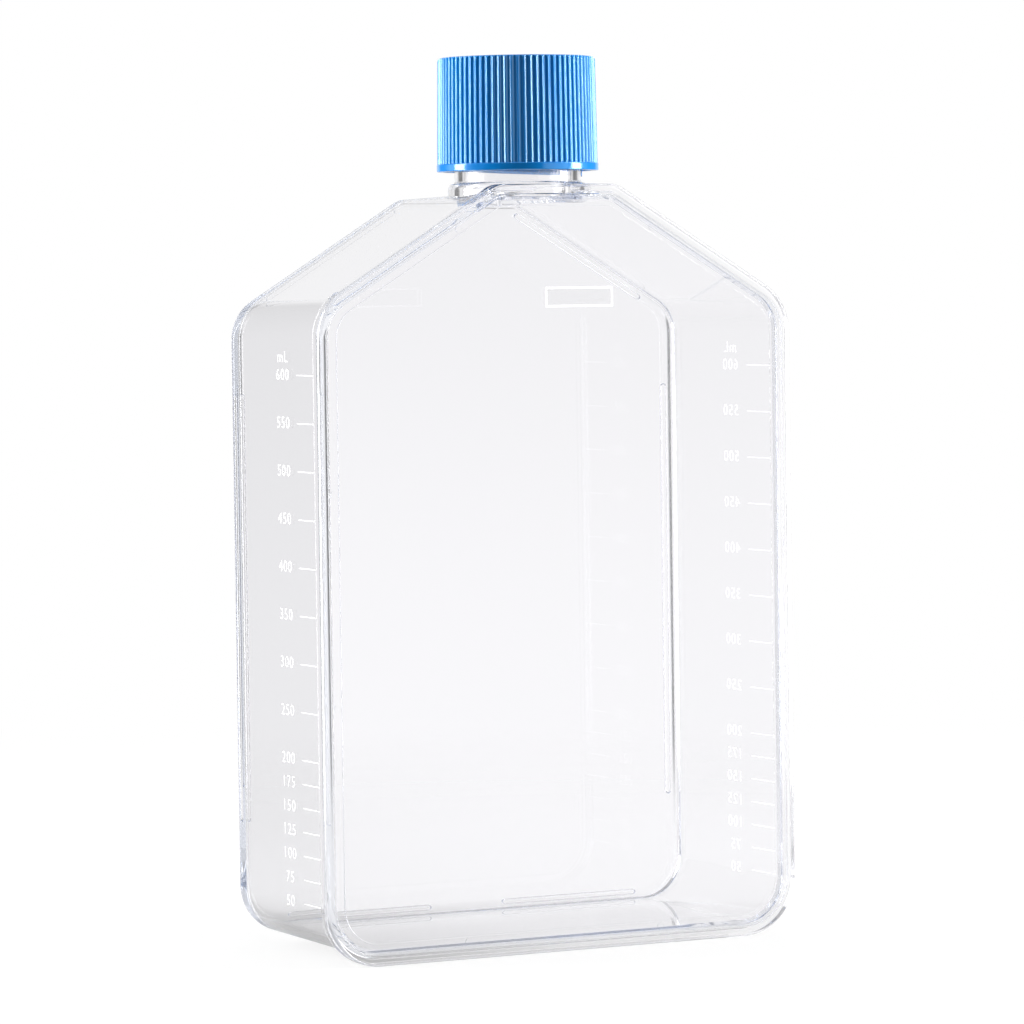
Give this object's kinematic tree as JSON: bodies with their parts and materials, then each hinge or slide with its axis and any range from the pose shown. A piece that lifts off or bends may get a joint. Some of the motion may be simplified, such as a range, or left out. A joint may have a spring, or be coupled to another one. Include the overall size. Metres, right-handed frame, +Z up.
{
  "type": "cell culture flask",
  "caption": "Clear rectangular culture flask with sloping shoulders, a flanged front window, printed side scales and an offset neck closed by a blue ribbed screw cap.",
  "frame": {"origin": "middle of the footprint, level with the bottom edge of the front flange", "axes": "+Z up along the neck as the flask stands on its end, -Y out of the front window, +X to the right seen from the front"},
  "size_m": [0.117, 0.0502, 0.1964],
  "materials": {
    "clear_polystyrene": "water-clear moulded polystyrene, polished",
    "blue_polyethylene": "moulded blue polyethylene, semi-gloss, ribbed",
    "white_membrane": "white microporous film, matt",
    "white_ink": "white printed scale and blank patch, satin"
  },
  "bodies": {
    "flask": {"flask_tray": "clear_polystyrene", "front_plate": "clear_polystyrene"},
    "membrane": {"vent_membrane": "white_membrane"},
    "cap": {"cap": "blue_polyethylene"}
  },
  "joints": [
    {"name": "cap_lift", "type": "slide", "parent": "flask", "child": "membrane", "axis": [0, 0, 1], "range_m": [0, 0.0281]},
    {"name": "cap_turn", "type": "hinge", "parent": "membrane", "child": "cap", "pos_m": [0, -0.00645, 0.1713], "axis": [0, 0, 1], "range_deg": [0, 2520]}
  ],
  "couplings": [
    {"joint": "cap_lift", "follows": "cap_turn", "m_per_rad": 0.00063662}
  ]
}
